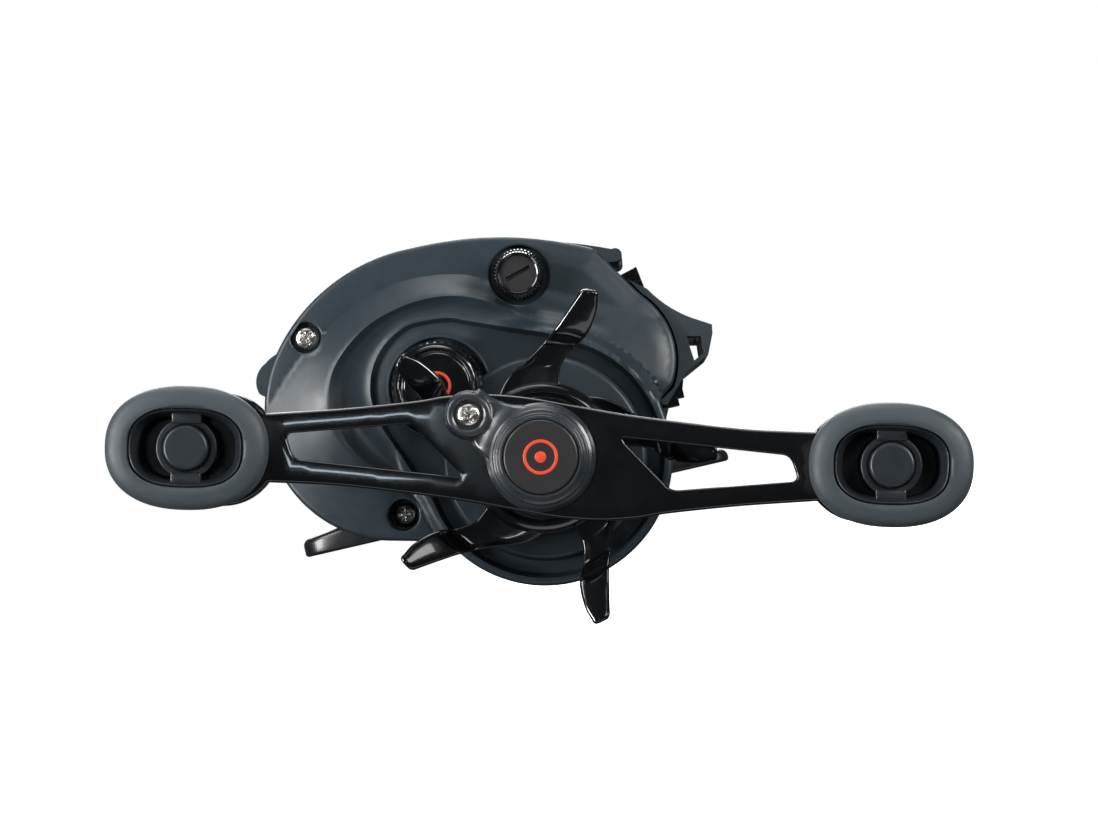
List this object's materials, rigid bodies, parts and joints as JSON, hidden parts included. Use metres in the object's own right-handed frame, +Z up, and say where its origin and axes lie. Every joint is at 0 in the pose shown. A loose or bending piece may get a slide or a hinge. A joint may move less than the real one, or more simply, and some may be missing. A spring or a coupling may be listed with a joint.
{
  "type": "baitcasting reel",
  "caption": "Low-profile baitcasting fishing reel with a double-knob handle, star drag, thumb bar clutch, travelling line guide and a foot for a casting rod.",
  "frame": {"origin": "centre of the foot's flat underside, where it rests on the rod's reel seat", "axes": "+X forward towards where the line leaves, +Y towards the palm side, +Z up away from the rod"},
  "size_m": [0.1085, 0.0867, 0.0558],
  "materials": {
    "frame_composite": "matte charcoal, fine orange peel",
    "cover_composite": "matte charcoal, soft sheen",
    "foot_black": "gloss black",
    "gloss_black": "deep gloss black",
    "retainer_black": "semi-gloss charcoal",
    "inlay_dark": "satin warm charcoal",
    "knob_rubber": "matte dark grey rubber",
    "knob_cap_black": "matte black plastic",
    "nickel": "bright nickel plate",
    "steel": "ground steel",
    "gear_brass": "cut brass",
    "spool_aluminium": "black anodised, machined",
    "bare_aluminium": "bare aluminium",
    "fibre": "woven fibre",
    "acetal": "natural acetal",
    "ceramic": "polished black ceramic",
    "bearing_steel": "polished bearing steel",
    "bronze": "sintered bronze",
    "magnet_nickel": "nickel-plated magnet"
  },
  "bodies": {
    "frame": {"frame": "frame_composite", "reel_foot": "foot_black", "foot_rivets": "bare_aluminium", "gear_side_cover": "cover_composite", "cover_screws": "nickel", "drive_bearing": "bearing_steel", "one_way_bearing": "bearing_steel", "gear_side_bearing": "bearing_steel", "yoke_posts": "steel", "worm_bushes": "acetal", "worm_tube": "steel", "guide_bar": "steel", "idler_post": "steel"},
    "palm_cover": {"palm_side_cover": "cover_composite", "palm_bearing": "bearing_steel"},
    "release_screw": {"release_screw": "gloss_black", "release_clip": "steel"},
    "drive": {"drive_shaft": "steel", "wind_drive_gear": "acetal", "kick_ratchet": "steel", "main_gear": "gear_brass", "drag_fibre_washers": "fibre", "drag_steel_washers": "steel", "drag_sleeve": "steel", "drag_spring_washers": "steel", "handle_spacer": "bare_aluminium", "handle_arm": "gloss_black", "handle_nut": "nickel", "nut_retainer": "retainer_black", "retainer_screw": "nickel", "cap_inlay": "inlay_dark", "knob_posts": "steel", "knob_bushes": "bronze"},
    "star": {"drag_star": "gloss_black", "star_nut": "gear_brass"},
    "knob_rear": {"knob_grip_rear": "knob_rubber", "knob_cap_rear": "knob_cap_black"},
    "knob_front": {"knob_grip_front": "knob_rubber", "knob_cap_front": "knob_cap_black"},
    "spool": {"spool": "spool_aluminium", "spool_shaft": "steel", "spool_pin": "steel", "brake_inductor": "bare_aluminium"},
    "yoke": {"clutch_yoke": "acetal", "yoke_springs": "steel"},
    "pinion": {"pinion": "gear_brass"},
    "thumb_bar": {"thumb_bar": "frame_composite", "clutch_plate": "steel"},
    "worm": {"worm_shaft": "steel", "worm_gear": "acetal"},
    "idler": {"idler_gear": "acetal"},
    "line_guide": {"line_guide": "gloss_black", "guide_insert": "ceramic", "guide_pawl": "steel", "pawl_cap": "nickel"},
    "cast_cap": {"cast_control_cap": "gloss_black", "cast_shim": "fibre"},
    "brake_dial": {"brake_dial": "knob_cap_black"},
    "magnet_plate": {"magnet_plate": "acetal", "brake_magnets": "magnet_nickel"}
  },
  "joints": [
    {"name": "handle_turn", "type": "hinge", "parent": "frame", "child": "drive", "pos_m": [0.006, -0.03, 0.00595], "axis": [0, 1, 0], "continuous": true},
    {"name": "thumb_press", "type": "slide", "parent": "frame", "child": "thumb_bar", "axis": [0.6854, 0, -0.7282], "range_m": [0, 0.004]},
    {"name": "brake_dial_turn", "type": "hinge", "parent": "palm_cover", "child": "brake_dial", "pos_m": [-0.006, 0.022, 0.0187], "axis": [0, 1, 0], "range_deg": [0, 270]},
    {"name": "palm_cover_slide", "type": "slide", "parent": "frame", "child": "palm_cover", "axis": [0, 1, 0], "range_m": [0, 0.03]},
    {"name": "release_screw_turn", "type": "hinge", "parent": "frame", "child": "release_screw", "pos_m": [0.0081, -0.022, 0.03135], "axis": [0, 1, 0], "range_deg": [-1080, 0]},
    {"name": "star_turn", "type": "hinge", "parent": "drive", "child": "star", "pos_m": [0.006, -0.034, 0.00595], "axis": [0, 1, 0], "range_deg": [-540, 180]},
    {"name": "knob_rear_turn", "type": "hinge", "parent": "drive", "child": "knob_rear", "pos_m": [-0.03759, -0.052, 0.01714], "axis": [0, 1, 0], "continuous": true},
    {"name": "knob_front_turn", "type": "hinge", "parent": "drive", "child": "knob_front", "pos_m": [0.04959, -0.052, -0.00524], "axis": [0, 1, 0], "continuous": true},
    {"name": "spool_turn", "type": "hinge", "parent": "frame", "child": "spool", "pos_m": [-0.006, 0, 0.0187], "axis": [0, 1, 0], "continuous": true},
    {"name": "yoke_lift", "type": "slide", "parent": "frame", "child": "yoke", "axis": [0, -1, 0], "range_m": [0, 0.0014], "deforming": ["yoke_springs"]},
    {"name": "pinion_turn", "type": "hinge", "parent": "yoke", "child": "pinion", "pos_m": [-0.006, -0.018, 0.0187], "axis": [0, 1, 0], "continuous": true},
    {"name": "worm_turn", "type": "hinge", "parent": "frame", "child": "worm", "pos_m": [0.0206, 0, 0.0142], "axis": [0, 1, 0], "continuous": true},
    {"name": "idler_turn", "type": "hinge", "parent": "frame", "child": "idler", "pos_m": [0.01628, -0.0157, 0.00807], "axis": [0, 1, 0], "continuous": true},
    {"name": "guide_slide", "type": "slide", "parent": "frame", "child": "line_guide", "axis": [0, 1, 0], "range_m": [-0.0075, 0.0075]},
    {"name": "cast_cap_turn", "type": "hinge", "parent": "frame", "child": "cast_cap", "pos_m": [-0.006, -0.027, 0.0187], "axis": [0, 1, 0], "range_deg": [-360, 360]},
    {"name": "magnet_slide", "type": "slide", "parent": "palm_cover", "child": "magnet_plate", "axis": [0, -1, 0], "range_m": [0, 0.001]}
  ],
  "couplings": [
    {"joint": "spool_turn", "follows": "handle_turn", "ratio": -6.3},
    {"joint": "pinion_turn", "follows": "handle_turn", "ratio": -6.3},
    {"joint": "idler_turn", "follows": "handle_turn", "ratio": -1.3333},
    {"joint": "worm_turn", "follows": "handle_turn", "ratio": 2},
    {"joint": "yoke_lift", "follows": "thumb_press", "ratio": 0.35},
    {"joint": "brake_dial_turn", "follows": "magnet_slide", "rad_per_m": 4712.4}
  ]
}
